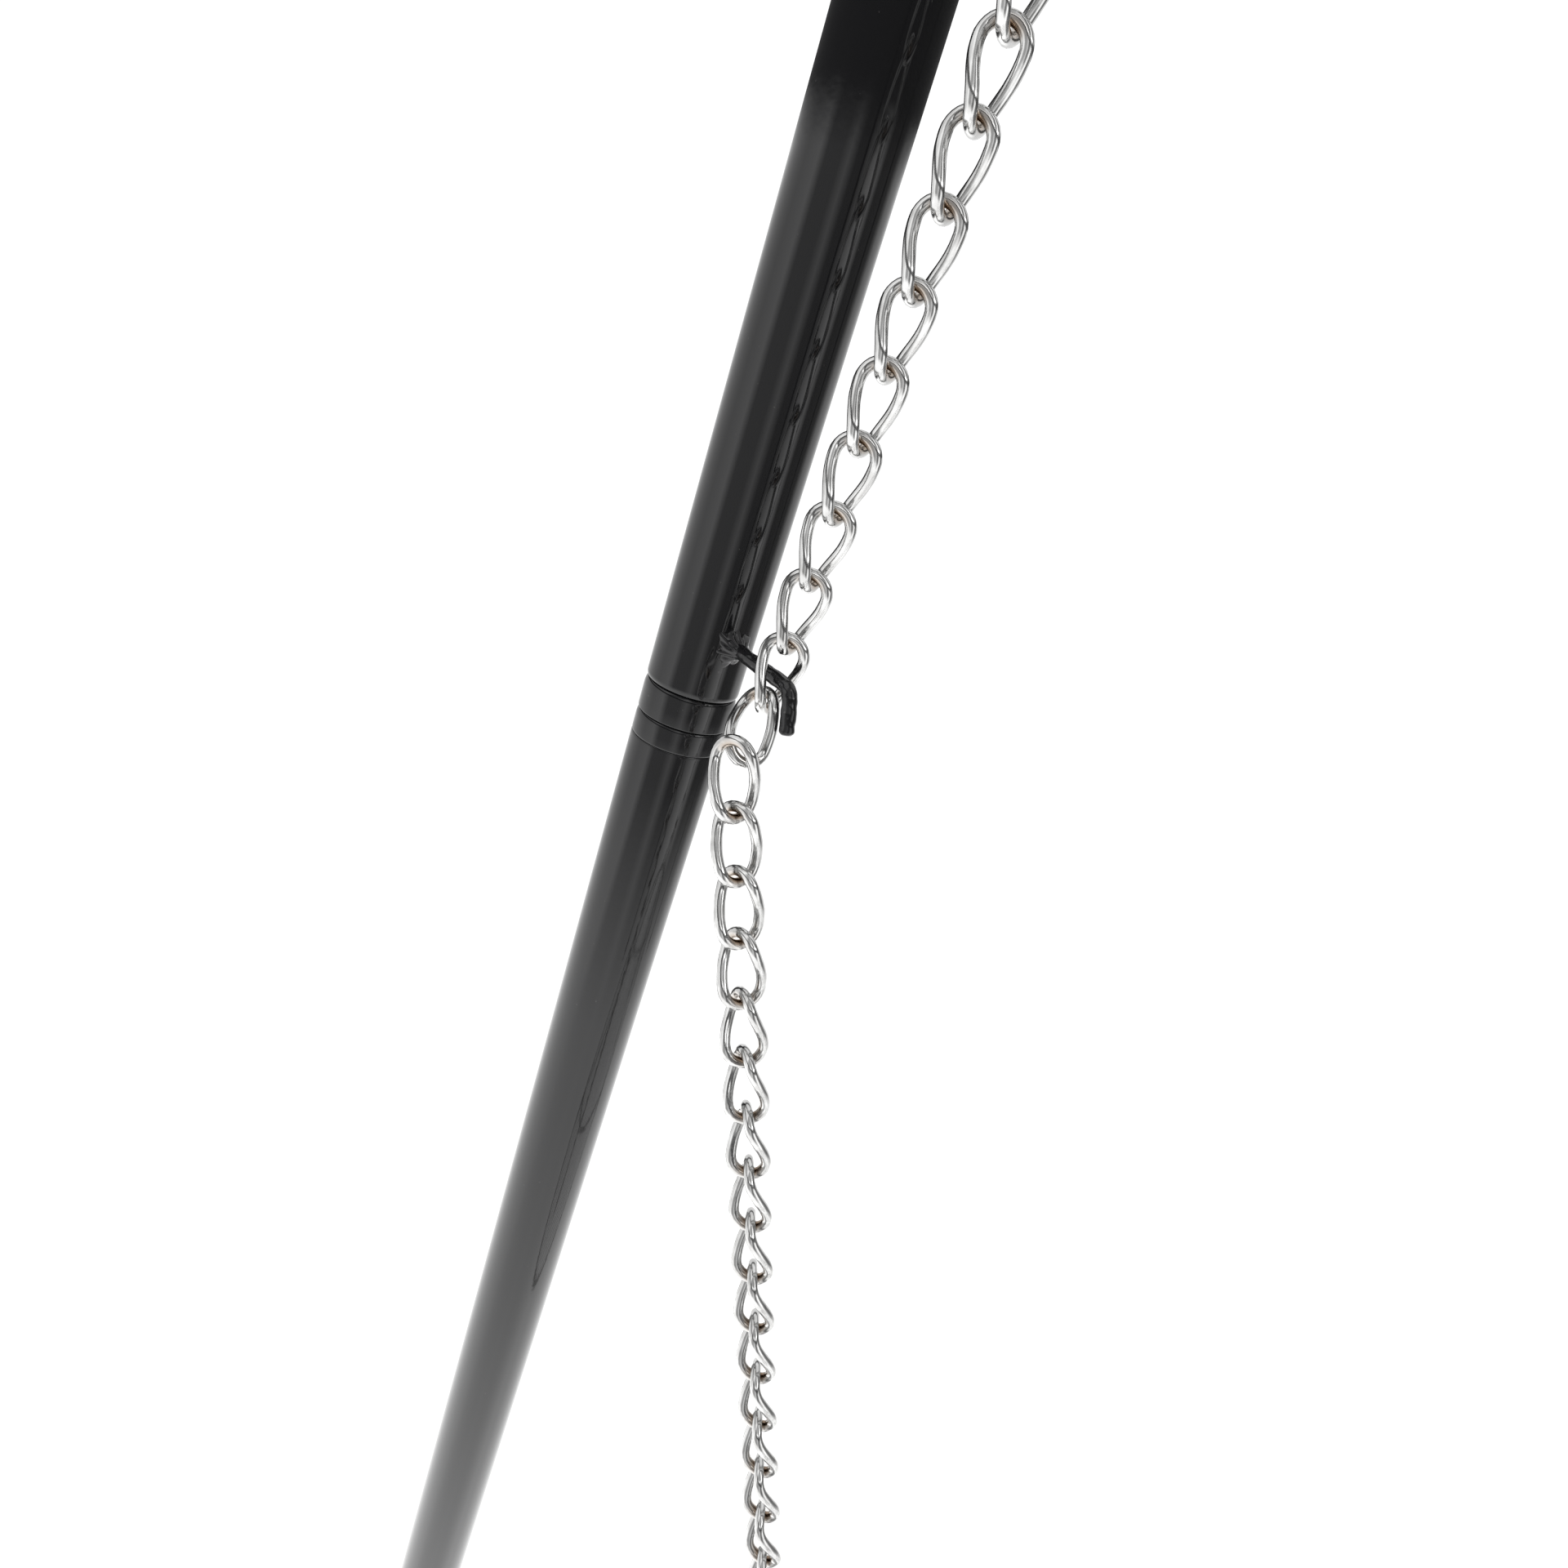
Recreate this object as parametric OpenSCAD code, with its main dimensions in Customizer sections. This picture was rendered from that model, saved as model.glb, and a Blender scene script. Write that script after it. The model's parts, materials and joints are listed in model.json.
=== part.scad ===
// Campfire tripod with a hanging round grate.
// Three sectioned tube legs hinge under a round hub plate. A chain comes up from the grate,
// turns over a bent rod under the plate and runs down to a welded hook on one leg.

/* [Legs] */
// Outer diameter of the leg tubes
tube_d = 25.4; // [22:0.2:30]
// Wall thickness of the leg tubes
tube_wall = 1.5; // [1.2:0.1:2]
// Length of one of the three sections of a leg, between parting planes
section_l = 560; // [500:10:620]
// Lean of a leg from upright
lean = 21.7; // [18:0.1:25]
// Diameter of the moulded foot
foot_d = 33; // [31:0.5:40]
// Length of the tube that is inside the foot
foot_grip = 38; // [25:1:50]

/* [Push-fit joints] */
// Visible collar of the socket, at the lower end of a section
socket_collar = 9; // [6:0.5:14]
// Visible collar of the plug, at the upper end of a section
plug_collar = 6.8; // [5:0.2:12]
// Diameter of the plug's spigot
spigot_d = 18.6; // [16:0.2:19]
// Length of the spigot, which is also the travel that frees a section
spigot_l = 46; // [30:1:60]
// Length of a ferrule inside its tube
ferrule_grip = 52; // [40:1:70]

/* [Hub] */
// Diameter of the hub plate
hub_d = 132; // [125:1:160]
// Thickness of the hub plate
hub_t = 5; // [4:0.5:8]
// Distance of a leg's pivot from the middle of the hub
pivot_r = 46; // [44:1:50]
// Diameter of the pivot bolts
bolt_d = 8; // [8:0.5:9]
// Thickness of an ear
ear_t = 4; // [3:0.5:5]
// Thickness of a leg's tongue
tongue_t = 8; // [6:0.5:10]

/* [Hook] */
// Diameter of the hook's rod
hook_d = 4; // [3.5:0.1:4.5]
// Height of the rod over the lower end of the upper tube
hook_rise = 16; // [15:1:20]
// Turn of the hook round the leg, from the side that faces inwards
hook_turn = 25.4; // [20:0.2:30]
// Distance from the middle of the tube to the outer end of the rod's straight part
hook_reach = 35.4; // [34:0.2:38]
// Angle that the hook's end is bent by
hook_bend = 70; // [60:1:75]
// Straight length after the bend
hook_tip = 8.2; // [6:0.2:9]
// Place of the chain on the rod, from the middle of the tube
hook_seat = 32; // [31:0.5:33]

/* [Chain] */
// Diameter of the link wire
wire_d = 2.8; // [2.6:0.1:3]
// Clear width inside a link
link_w = 6.8; // [6.4:0.1:7.2]
// Links between the hub and the hook
run_links = 35; // [35:1:35]
// Links of the spare end below the hook
spare_links = 26; // [20:1:28]
// Links between the hub and the grate's carrying hook
main_links = 48; // [42:2:50]
// Links in each of the three grate chains
grate_links = 22; // [22:1:22]

/* [Grate] */
// Outer diameter of the grate
grate_d = 445; // [420:5:450]
// Diameter of the rim rod
rim_d = 8; // [7:0.5:10]
// Diameter of the bars
bar_d = 5; // [4:0.5:6]
// Distance between bars
bar_pitch = 23; // [23:1:23]
// Distance of the two cross rods from the middle
cross_x = 95; // [80:5:120]

/* [Hidden] */

black_paint = [0.06, 0.06, 0.065];
zinc = [0.78, 0.78, 0.76];
rubber_black = [0.09, 0.09, 0.09];
round_fn = 48;
wire_fn = 24;
fit_gap = 0.08;      // radial gap of a sliding or turning fit
side_gap = 0.4;      // gap beside a part that turns
seam = 0.05;         // gap where two pieces of one body are welded or pressed together
link_gap = 0.4;      // gap between the wires of two links

// Legs: each local frame has its origin on the pivot, +X outwards and -Z down the leg.
leg_turns = [180, 60, -60];
leg_l = 3 * section_l;
pivot_z = leg_l * cos(lean);
foot_r = pivot_r + leg_l * sin(lean);
sole_long = foot_d / 2 / cos(lean);
sole_x = sqrt(pow(sole_long * cos(60), 2) + pow(foot_d / 2 * sin(60), 2));
// The footprint's box is centred on the origin, so the hub stands off it along +X.
hub_x = (foot_r + sole_long - foot_r * cos(60) - sole_x) / 2;
tube_start = 25;
tube_bore = tube_d - 2 * tube_wall;
grip_d = tube_bore - 2 * seam;
upper_end = section_l - socket_collar;
lower_end = leg_l - 12;

// Hub
plate_z = pivot_z + 14;
ear_r = 14;
ear_in = tongue_t / 2 + side_gap;
ear_out = ear_in + ear_t;
washer_t = 1.6;
head_t = 5.3;
nut_t = 6.5;
tongue_r = 12;
// Height of the tongue's heel, which meets the plate when the leg is fully spread
heel_z = (plate_z - pivot_z - 0.3 - tongue_r * sin(lean)) / cos(lean);

// Chain guide: a rod bent to a U, with its bar under the middle of the plate
guide_d = 6;
guide_r = 14;
link_r = (link_w + wire_d) / 2;
// The bar is low enough for the limbs of the guide link to clear the guide's bend
saddle_z = pivot_z - 5;
saddle_r = guide_r - (guide_d + wire_d) / 2 - 0.2;
guide_bar_z = saddle_z - guide_r + sqrt(saddle_r * saddle_r - link_r * link_r);

// Links
// Distance between the wires' centre lines where two links meet
wire_step = wire_d + link_gap;

// A point of leg A's local frame, in the row frame
function on_leg_a(p) = [
  hub_x - pivot_r - (p.x * cos(lean) - p.z * sin(lean)),
  -p.y,
  pivot_z + p.x * sin(lean) + p.z * cos(lean)
];

rod_at_seat = on_leg_a([
  -hook_seat * cos(hook_turn), hook_seat * sin(hook_turn), -(upper_end - hook_rise)
]);
// The guide link lies over the bar, with one chain hung from each of its ends.
guide_half = 9.5;
run_top = [hub_x - guide_half, 0, saddle_z];
run_way = (rod_at_seat - run_top) / norm(rod_at_seat - run_top);
under_rod = hook_d / 2 + wire_d + 1.4;
run_start = run_top - run_way * wire_step / 2;
run_end = rod_at_seat + run_way * (under_rod + 1.5 * link_gap);
pitch = norm(run_end - run_start) / run_links;
link_l = round(100 * (pitch + link_gap)) / 100;

// The caught link is held askew: its top lies between the rod and the last link of the run.
caught_top = on_leg_a([-26.3, 14.45, -540.3]);
caught_tip = on_leg_a([-32.8, 29.35, -550.2]);
caught_turn = -15;
caught_way = (caught_tip - caught_top) / norm(caught_tip - caught_top);
caught_mid = caught_top + caught_way * (link_l + wire_d) / 2;
caught_low = caught_mid + caught_way * (link_l + wire_d) / 2;
hook_way = [cos(hook_turn) * cos(lean), -sin(hook_turn), -cos(hook_turn) * sin(lean)];
// The spare end hangs plumb from the caught link's low end, and is turned to clear it.
spare_top = caught_low + [-1.2, -0.6, wire_step / 2];
spare_turn = 20;

main_x = hub_x + guide_half;
main_top = saddle_z + wire_step / 2;
main_bottom = main_top - main_links * pitch;

// Carrying hook and ring, in line below the main chain
carry_d = 5;
carry_r = 9;
carry_top_z = main_bottom + link_gap / 2 + carry_d / 2 - carry_r;
carry_low_z = carry_top_z - 2 * carry_r;
ring_d = 5;
ring_r = 16;
ring_z = carry_low_z - carry_r + carry_d / 2 + 0.4 + ring_d / 2 - ring_r;

// Grate and its chains
grate_turns = [0, 120, 240];
ring_turns = [0, 28, -28];
// Turn from link to link, which brings the last link square to its rim hook
grate_twists = [0, -3.1, 3.1];
rim_r = (grate_d - rim_d) / 2;
rim_hook_d = 4;
rim_hook_r = 6.6;
chain_drop = 304;
rim_z = ring_z - chain_drop;
bar_z = rim_z + (rim_d + bar_d) / 2 + seam;
cross_d = 6;
cross_z = bar_z - (bar_d + cross_d) / 2 - seam;
bars = floor((rim_r - 10) / bar_pitch - 0.5);

module rod(a, b, d) {
  way = b - a;
  translate(a)
    rotate([0, acos(way.z / norm(way)), atan2(way.y, way.x)])
      cylinder(h = norm(way), d = d, $fn = wire_fn);
}

module bent_rod(r, d, angle) {
  rotate_extrude(angle = angle, $fn = round_fn) translate([r, 0]) circle(d = d, $fn = wire_fn);
}

// An oval link with its long way on Z and its loop in the XZ plane
module link() {
  straight = link_l - link_w;
  for (end = [0, 180]) rotate([0, end, 0]) {
    translate([0, 0, straight / 2]) rotate([90, 0, 0]) bent_rod(link_r, wire_d, 180);
    translate([link_r, 0, -straight / 2]) cylinder(h = straight, d = wire_d, $fn = wire_fn);
  }
}

// Points -Z of its children along a way, with their X axis as near to another way as it can be
module aim(way, across) {
  flat = across - way * (across * way);
  x = flat / norm(flat);
  z = -way;
  y = cross(z, x);
  multmatrix([[x.x, y.x, z.x, 0], [x.y, y.y, z.y, 0], [x.z, y.z, z.z, 0]]) children();
}

// A straight run of links from a contact point, each turned a quarter turn and a little more
module chain(start, way, across, links, twist = 0, spacing = pitch) {
  for (i = [0 : links - 1])
    translate(start + way * spacing * (i + 0.5)) aim(way, across)
      rotate([0, 0, 90 * (i % 2) + twist * i]) link();
}

module on_leg(leg) {
  translate([hub_x, 0, pivot_z])
    rotate([0, 0, leg_turns[leg]]) translate([pivot_r, 0, 0]) rotate([0, -lean, 0]) children();
}

// A round piece along a leg, from one distance down the leg to another
module leg_round(from, to, d) {
  translate([0, 0, -to]) cylinder(h = to - from, d = d, $fn = round_fn);
}

module leg_tube(leg, from, to) {
  color(black_paint) on_leg(leg) difference() {
    leg_round(from + seam, to - seam, tube_d);
    leg_round(from - 1, to + 1, tube_bore);
  }
}

// Socket ferrule: a collar flush with the tube, and a sleeve inside the tube
module socket_ferrule(leg, parting) {
  color(black_paint) on_leg(leg) difference() {
    union() {
      leg_round(parting - socket_collar, parting - seam, tube_d);
      leg_round(parting - socket_collar - ferrule_grip, parting - 1, grip_d);
    }
    leg_round(parting - socket_collar - ferrule_grip - 1, parting + 1, spigot_d + 2 * fit_gap);
  }
}

// Plug ferrule: a spigot above, a collar flush with the tube, and a grip inside the tube
module plug_ferrule(leg, parting) {
  color(black_paint) on_leg(leg) difference() {
    union() {
      leg_round(parting - spigot_l, parting + 1, spigot_d);
      leg_round(parting + seam, parting + plug_collar, tube_d);
      leg_round(parting + 1, parting + plug_collar + ferrule_grip, grip_d);
    }
    leg_round(parting - spigot_l - 1, parting + plug_collar + ferrule_grip + 1, spigot_d - 5);
  }
}

// Tongue of a leg: an eye on the pivot, a disc on the tube's end and a stub inside the tube
module tongue(leg) {
  color(black_paint) on_leg(leg) {
    difference() {
      translate([0, tongue_t / 2, 0]) rotate([90, 0, 0]) linear_extrude(tongue_t) union() {
        circle(r = tongue_r, $fn = round_fn);
        translate([-tongue_r, -tube_start + 3]) square([2 * tongue_r, tube_start - 3]);
        translate([0, -1]) square([tongue_r, heel_z + 1]);
      }
      rotate([90, 0, 0])
        cylinder(h = 3 * tongue_t, d = bolt_d + 2 * fit_gap, center = true, $fn = round_fn);
    }
    leg_round(tube_start - 3, tube_start, tube_d);
    leg_round(tube_start - 1, tube_start + 20, grip_d);
  }
}

// Moulded foot: a cap over the tube's end, cut level where it stands on the ground
module foot(leg) {
  color(rubber_black) intersection() {
    on_leg(leg) difference() {
      leg_round(lower_end - foot_grip, leg_l + foot_d, foot_d);
      leg_round(lower_end - foot_grip - 1, lower_end + seam, tube_d + 2 * seam);
    }
    translate([-2 * leg_l, -2 * leg_l, 0]) cube([4 * leg_l, 4 * leg_l, 200]);
  }
}

module at_pivots() {
  for (leg = [0 : 2])
    translate([hub_x, 0, pivot_z]) rotate([0, 0, leg_turns[leg]]) translate([pivot_r, 0, 0])
      rotate([90, 0, 0]) children();
}

module hub_plate() {
  color(black_paint) translate([hub_x, 0, plate_z]) cylinder(h = hub_t, d = hub_d, $fn = 96);
}

module hub_ears() {
  color(black_paint) at_pivots()
    for (side = [0, 1]) mirror([0, 0, side]) translate([0, 0, ear_in]) difference() {
      linear_extrude(ear_t) union() {
        circle(r = ear_r, $fn = round_fn);
        translate([-ear_r, 0]) square([2 * ear_r, plate_z - pivot_z - seam]);
      }
      translate([0, 0, -1]) cylinder(h = ear_t + 2, d = bolt_d + 2 * fit_gap, $fn = round_fn);
    }
}

module chain_guide() {
  bend_z = guide_bar_z + guide_r;
  color(black_paint) translate([hub_x, 0, bend_z]) rotate([-90, 0, 90]) {
    bent_rod(guide_r, guide_d, 180);
    for (side = [-1, 1])
      translate([side * guide_r, 0, 0]) rotate([90, 0, 0])
        cylinder(h = plate_z - bend_z - seam, d = guide_d, $fn = wire_fn);
  }
}

module pivot_bolts() {
  color(zinc) at_pivots() {
    translate([0, 0, -ear_out - 0.2 - washer_t - nut_t - 3])
      cylinder(h = 2 * ear_out + 2 * washer_t + nut_t + 4, d = bolt_d, $fn = round_fn);
    translate([0, 0, ear_out + washer_t + 0.3]) cylinder(h = head_t, r = 7.5, $fn = 6);
  }
}

module pivot_nuts() {
  color(zinc) at_pivots() translate([0, 0, -ear_out - washer_t - 0.3 - nut_t]) difference() {
    cylinder(h = nut_t, r = 7.5, $fn = 6);
    translate([0, 0, -1]) cylinder(h = nut_t + 2, d = bolt_d + 2 * fit_gap, $fn = round_fn);
  }
}

module pivot_washers() {
  color(zinc) at_pivots()
    for (side = [0, 1]) mirror([0, 0, side]) translate([0, 0, ear_out + 0.1]) difference() {
      cylinder(h = washer_t, r = 8.5, $fn = round_fn);
      translate([0, 0, -1]) cylinder(h = washer_t + 2, d = bolt_d + 2 * fit_gap, $fn = round_fn);
    }
}

// Puts children on the leg's axis at the hook's height, with +X along the hook
module at_hook() {
  on_leg(0) translate([0, 0, -(upper_end - hook_rise)]) rotate([0, 0, 180 - hook_turn]) children();
}

// The straight tip is a hair thinner than the bend and starts inside it, so they are one solid
module chain_hook() {
  bend_r = 4;
  tip_start = 0.3;
  color(black_paint) at_hook() {
    translate([tube_d / 2 + 0.1, 0, 0]) rotate([0, 90, 0])
      cylinder(h = hook_reach - tube_d / 2 - 0.1, d = hook_d, $fn = wire_fn);
    translate([hook_reach, 0, -bend_r]) rotate([90, 0, 0]) rotate([0, 0, 90]) mirror([0, 1, 0]) {
      bent_rod(bend_r, hook_d, hook_bend);
      rotate([0, 0, hook_bend]) translate([bend_r, -tip_start, 0]) rotate([-90, 0, 0])
        cylinder(h = tip_start + hook_tip, d = hook_d - 0.1, $fn = wire_fn);
    }
  }
}

// The weld bead is a low ring round the rod, cut to the tube
module hook_weld() {
  bead_d = 2.6;
  color(black_paint) at_hook() difference() {
    translate([tube_d / 2 - 0.2, 0, 0]) rotate([0, 90, 0])
      cylinder(h = bead_d, r1 = hook_d / 2 + bead_d, r2 = hook_d / 2 + 0.6, $fn = round_fn);
    translate([tube_d / 2 - 1, 0, 0]) rotate([0, 90, 0])
      cylinder(h = bead_d + 2, d = hook_d + 2 * seam, $fn = round_fn);
    translate([0, 0, -20]) cylinder(h = 40, d = tube_d + 2 * seam, $fn = round_fn);
  }
}

// The guide link lies flat over the bar
module guide_link() {
  color(zinc) translate([hub_x, 0, saddle_z]) rotate([0, 90, 0]) rotate([0, 0, 90]) link();
}

module run_chain() {
  color(zinc) chain(run_start, run_way, [1, 0, 0], run_links, (90 - hook_turn) / (run_links - 1));
}

module caught_link() {
  color(zinc) translate(caught_mid) aim(caught_way, hook_way) rotate([0, 0, caught_turn]) link();
}

module spare_chain() {
  across = cross([0, 0, 1], hook_way);
  color(zinc) translate(spare_top) rotate([0, 0, spare_turn])
    chain([0, 0, 0], [0, 0, -1], across, spare_links);
}

module main_chain() {
  color(zinc) chain([main_x, 0, main_top], [0, 0, -1], [1, 0, 0], main_links);
}

// An S of two equal bends, one over the other, in the XZ plane
module s_hook(r, d, angle) {
  for (end = [0, 180]) rotate([0, end, 0]) translate([0, 0, r]) rotate([90, 0, 0])
    rotate([0, 0, -90]) bent_rod(r, d, angle);
}

module carrying_hook() {
  color(zinc) translate([main_x, 0, carry_top_z - carry_r]) s_hook(carry_r, carry_d, 250);
}

module gather_ring() {
  color(zinc) translate([main_x, 0, ring_z]) rotate([0, 90, 0])
    rotate_extrude($fn = round_fn) translate([ring_r, 0]) circle(d = ring_d, $fn = wire_fn);
}

// Ways and places of the three grate chains
function ring_point(i) = [main_x, ring_r * sin(ring_turns[i]), ring_z - ring_r * cos(ring_turns[i])];
function rim_point(i) = [
  main_x + rim_r * cos(grate_turns[i]), rim_r * sin(grate_turns[i]), rim_z
];
function grate_way(i) = (rim_point(i) - ring_point(i)) / norm(rim_point(i) - ring_point(i));
function grate_start(i) =
  ring_point(i) - grate_way(i) * (ring_d + link_gap) / 2;

// Each grate chain ends in the upper bend of its rim hook
function hook_eye(i) = rim_point(i) - grate_way(i) * (3 * rim_hook_r - (rim_hook_d + link_gap) / 2);
function grate_pitch(i) = norm(hook_eye(i) - grate_start(i)) / grate_links;

module grate_chain(i) {
  color(zinc) chain(
    grate_start(i), grate_way(i), [1, 0, 0], grate_links, grate_twists[i], grate_pitch(i)
  );
}

module rim_hooks() {
  color(zinc) for (i = [0 : 2])
    translate(rim_point(i) - grate_way(i) * rim_hook_r)
      aim(grate_way(i), [cos(grate_turns[i]), sin(grate_turns[i]), 0])
        s_hook(rim_hook_r, rim_hook_d, 240);
}

module grate_rim() {
  color(zinc) translate([main_x, 0, rim_z])
    rotate_extrude($fn = 128) translate([rim_r, 0]) circle(d = rim_d, $fn = round_fn);
}

module grate_bars() {
  color(zinc) for (i = [-bars - 1 : bars]) {
    y = (i + 0.5) * bar_pitch;
    half = sqrt(rim_r * rim_r - y * y);
    rod([main_x - half, y, bar_z], [main_x + half, y, bar_z], bar_d);
  }
}

module grate_cross_rods() {
  inner = rim_r - rim_d / 2 - 0.2;
  half = sqrt(inner * inner - pow(cross_x + cross_d / 2, 2));
  color(zinc) for (side = [-1, 1])
    translate([main_x + side * cross_x, 0, 0])
      rod([0, -half, cross_z], [0, half, cross_z], cross_d);
}

hub_plate();
hub_ears();
chain_guide();
pivot_bolts();
pivot_nuts();
pivot_washers();
tongue(0);  // leg_a_tongue
leg_tube(0, tube_start, upper_end);  // leg_a_upper_tube
socket_ferrule(0, section_l);  // leg_a_upper_socket
chain_hook();
hook_weld();
plug_ferrule(0, section_l);  // leg_a_middle_plug
leg_tube(0, section_l + plug_collar, 2 * section_l - socket_collar);  // leg_a_middle_tube
socket_ferrule(0, 2 * section_l);  // leg_a_middle_socket
plug_ferrule(0, 2 * section_l);  // leg_a_lower_plug
leg_tube(0, 2 * section_l + plug_collar, lower_end);  // leg_a_lower_tube
foot(0);  // leg_a_foot
tongue(1);  // leg_b_tongue
leg_tube(1, tube_start, upper_end);  // leg_b_upper_tube
socket_ferrule(1, section_l);  // leg_b_upper_socket
plug_ferrule(1, section_l);  // leg_b_middle_plug
leg_tube(1, section_l + plug_collar, 2 * section_l - socket_collar);  // leg_b_middle_tube
socket_ferrule(1, 2 * section_l);  // leg_b_middle_socket
plug_ferrule(1, 2 * section_l);  // leg_b_lower_plug
leg_tube(1, 2 * section_l + plug_collar, lower_end);  // leg_b_lower_tube
foot(1);  // leg_b_foot
tongue(2);  // leg_c_tongue
leg_tube(2, tube_start, upper_end);  // leg_c_upper_tube
socket_ferrule(2, section_l);  // leg_c_upper_socket
plug_ferrule(2, section_l);  // leg_c_middle_plug
leg_tube(2, section_l + plug_collar, 2 * section_l - socket_collar);  // leg_c_middle_tube
socket_ferrule(2, 2 * section_l);  // leg_c_middle_socket
plug_ferrule(2, 2 * section_l);  // leg_c_lower_plug
leg_tube(2, 2 * section_l + plug_collar, lower_end);  // leg_c_lower_tube
foot(2);  // leg_c_foot
guide_link();
run_chain();
caught_link();
spare_chain();
main_chain();
carrying_hook();
gather_ring();
grate_chain(0);  // grate_chain_a
grate_chain(1);  // grate_chain_b
grate_chain(2);  // grate_chain_c
rim_hooks();
grate_rim();
grate_bars();
grate_cross_rods();
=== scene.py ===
# %% [markdown]
# # A campfire tripod with a hanging grate
# The real thing is a standing tripod. Three legs of black enamelled steel tube, each in three
# push-fit sections, hinge under a round plate. A bright zinc-plated chain carries a round grate,
# goes over a guide under the plate, and comes down to a rod hook that is welded to one leg.
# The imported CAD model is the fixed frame. This script gives the frame its finishes, and makes
# the pieces that CAD keeps plain: the twisted links, the rounded tube ends and the weld bead.

# %% Load the frame
import json
import math

import bmesh
import bpy
import numpy as np
from mathutils import Matrix, Vector


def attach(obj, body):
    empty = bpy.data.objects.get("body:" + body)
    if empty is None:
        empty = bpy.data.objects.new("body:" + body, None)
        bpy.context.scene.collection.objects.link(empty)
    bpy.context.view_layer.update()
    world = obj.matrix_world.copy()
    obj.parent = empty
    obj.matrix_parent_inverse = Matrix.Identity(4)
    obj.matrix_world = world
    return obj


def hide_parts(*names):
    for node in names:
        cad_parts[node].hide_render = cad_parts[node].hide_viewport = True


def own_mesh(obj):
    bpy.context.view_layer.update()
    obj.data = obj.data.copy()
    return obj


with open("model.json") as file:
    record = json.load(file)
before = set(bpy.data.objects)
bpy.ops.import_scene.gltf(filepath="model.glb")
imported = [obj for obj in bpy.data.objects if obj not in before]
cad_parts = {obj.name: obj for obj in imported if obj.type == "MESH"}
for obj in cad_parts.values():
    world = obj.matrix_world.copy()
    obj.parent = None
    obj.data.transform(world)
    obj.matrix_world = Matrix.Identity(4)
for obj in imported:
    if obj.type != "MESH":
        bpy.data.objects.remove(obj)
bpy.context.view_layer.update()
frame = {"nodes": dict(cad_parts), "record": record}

# %% [markdown]
# ## The camera
# The view is a close-up from inside the tripod. The camera stands a little above the hook,
# looks outwards and slightly down at one leg, and has a wide lens. Its place was worked out from
# how fast the tube and the links grow smaller down the leg. The directions below are the
# camera's own axes in the frame's coordinates.

# %% Set the camera
scene = bpy.context.scene
camera_data = bpy.data.cameras.new("camera")
camera_data.lens = 21.46
camera_data.sensor_width = 36
camera_data.clip_start = 0.01
camera = bpy.data.objects.new("camera", camera_data)
scene.collection.objects.link(camera)
scene.camera = camera

look = Vector((-0.446, 0.867, -0.224)).normalized()
right = Vector((0.891, 0.452, -0.024))
right = (right - look * right.dot(look)).normalized()
up = right.cross(look)
camera.matrix_world = Matrix.Translation((0.05456, -0.21365, 1.0789)) @ Matrix(
    [[right[i], up[i], -look[i]] for i in range(3)]).to_4x4()
print("camera looks along", tuple(round(v, 3) for v in look))

# %% [markdown]
# ## Sizes from the frame
# Every place below comes from the CAD model. The legs lean out at the same angle, and each one
# has its own coordinates: the origin on its hinge pin, X outwards and Z up along the tube. A
# function gives the matrix from those coordinates to the frame's, so that one profile serves
# three legs. Distances down a leg are written in millimetres, as on a drawing.

# %% Name the sizes
MM = 0.001
HUB_X, PIVOT_Z, PIVOT_R = 0.167261, 1.56094, 0.046
LEAN = math.radians(21.7)
LEG_TURNS = {"a": 180, "b": 60, "c": -60}
SECTION, COLLAR_ABOVE, COLLAR_BELOW = 560, 9, 6.8
TUBE_R, BORE_R, SPIGOT_R, SOCKET_R = 12.7, 11.2, 9.3, 9.38
HOOK_DOWN, HOOK_TURN = 535, 25.4
WIRE_R, LIMB_R, LINK_HALF = 1.4, 4.8, 9.49
MAIN_X, CHAIN_TOP, CHAIN_LOW = 0.176761, 1.55754, 0.799874


def leg_matrix(leg):
    """The matrix from a leg's own coordinates to the frame's: turn about the hub, then lean out."""
    return (Matrix.Translation((HUB_X, 0, PIVOT_Z))
            @ Matrix.Rotation(math.radians(LEG_TURNS[leg]), 4, "Z")
            @ Matrix.Translation((PIVOT_R, 0, 0)) @ Matrix.Rotation(-LEAN, 4, "Y"))


def moved(points, matrix):
    """Points times the matrix's 3 by 3 part, plus its translation."""
    m = np.array(matrix)
    return points @ m[:3, :3].T + m[:3, 3]


print("leg a's foot is at", tuple(round(v, 4) for v in leg_matrix("a") @ Vector((0, 0, -1.68))))

# %% [markdown]
# ## Surfaces from grids
# A tube, a rod and a link are the same thing to a mesh: rings of points, one ring after another.
# A grid of points with rows and columns becomes a surface by joining each point to its
# neighbours. The rows can close on themselves, as round a link, and so can the columns, as round
# a wire. Whole arrays are worked at once, so that a chain of many links costs one formula.

# %% Helpers that turn grids of points into pieces
def grid_faces(rows, columns, close_rows, close_columns):
    """Corner numbers of the quads between each point, the next in its row, and the row after."""
    r = np.arange(rows if close_rows else rows - 1)
    c = np.arange(columns if close_columns else columns - 1)
    r, c = np.meshgrid(r, c, indexing="ij")
    r2, c2 = (r + 1) % rows, (c + 1) % columns
    return np.stack([r * columns + c, r * columns + c2, r2 * columns + c2, r2 * columns + c],
                    axis=-1).reshape(-1, 4)


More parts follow.
